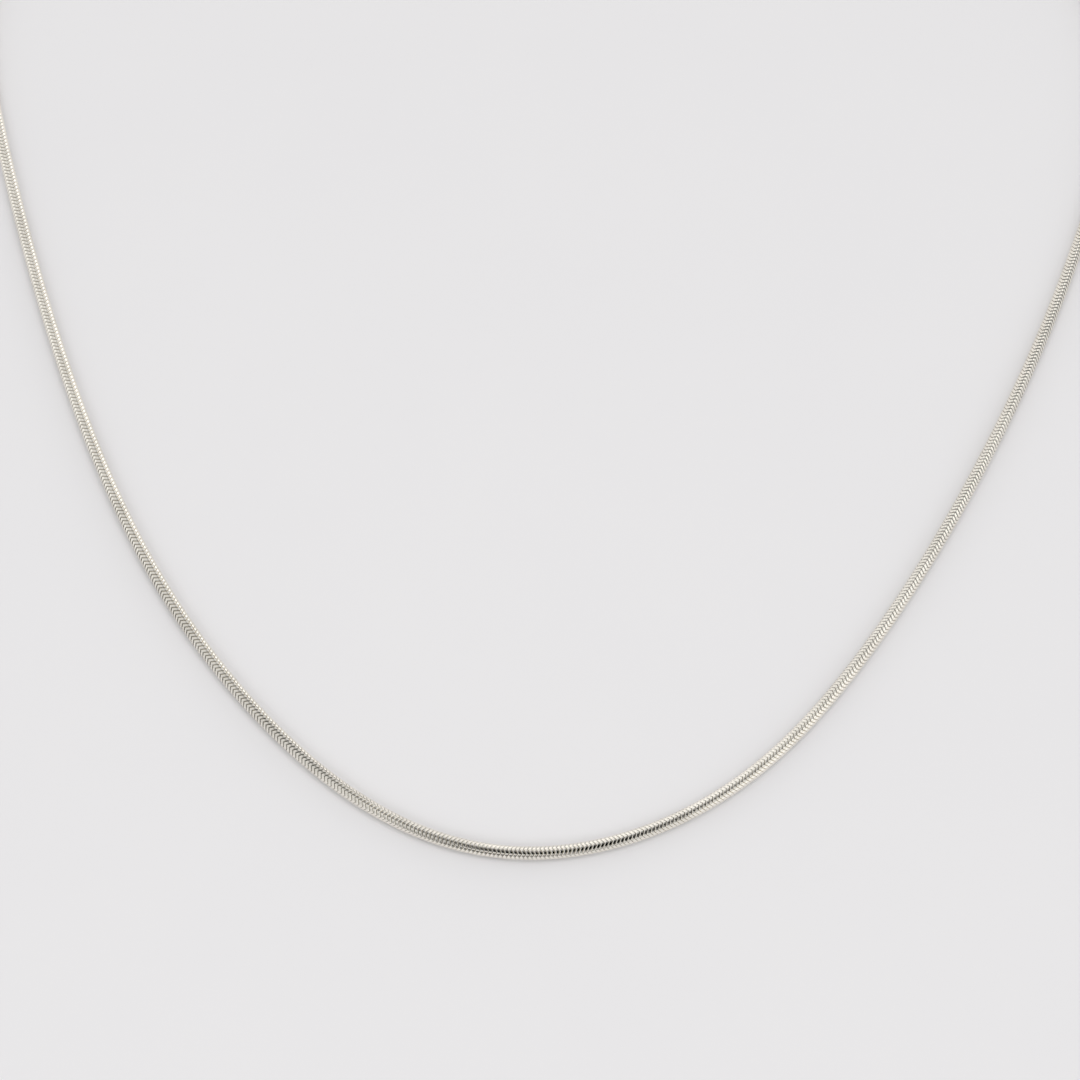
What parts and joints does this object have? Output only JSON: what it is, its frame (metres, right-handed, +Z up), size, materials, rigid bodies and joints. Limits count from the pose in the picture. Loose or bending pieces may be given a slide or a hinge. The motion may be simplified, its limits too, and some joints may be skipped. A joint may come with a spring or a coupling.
{
  "type": "snake chain necklace",
  "caption": "Round silver snake chain necklace lying fastened as a closed loop, with capped ends, jump rings and a closed ring clasp at the back.",
  "frame": {"origin": "on the surface that the necklace lies on, under the middle of its bounding box", "axes": "+Z up from the surface, +Y from the front of the loop to the clasp at the back, +X to the right for someone who looks along +Y"},
  "size_m": [0.1411, 0.1598, 0.0038],
  "materials": {
    "chain_silver": "polished silver links",
    "fitting_silver": "polished silver end caps, rings and clasp"
  },
  "bodies": {
    "root": {"snake_chain": "chain_silver", "end_cap_left": "fitting_silver", "end_cap_right": "fitting_silver", "jump_ring_left": "fitting_silver", "jump_ring_right": "fitting_silver", "clasp": "fitting_silver"}
  },
  "joints": []
}
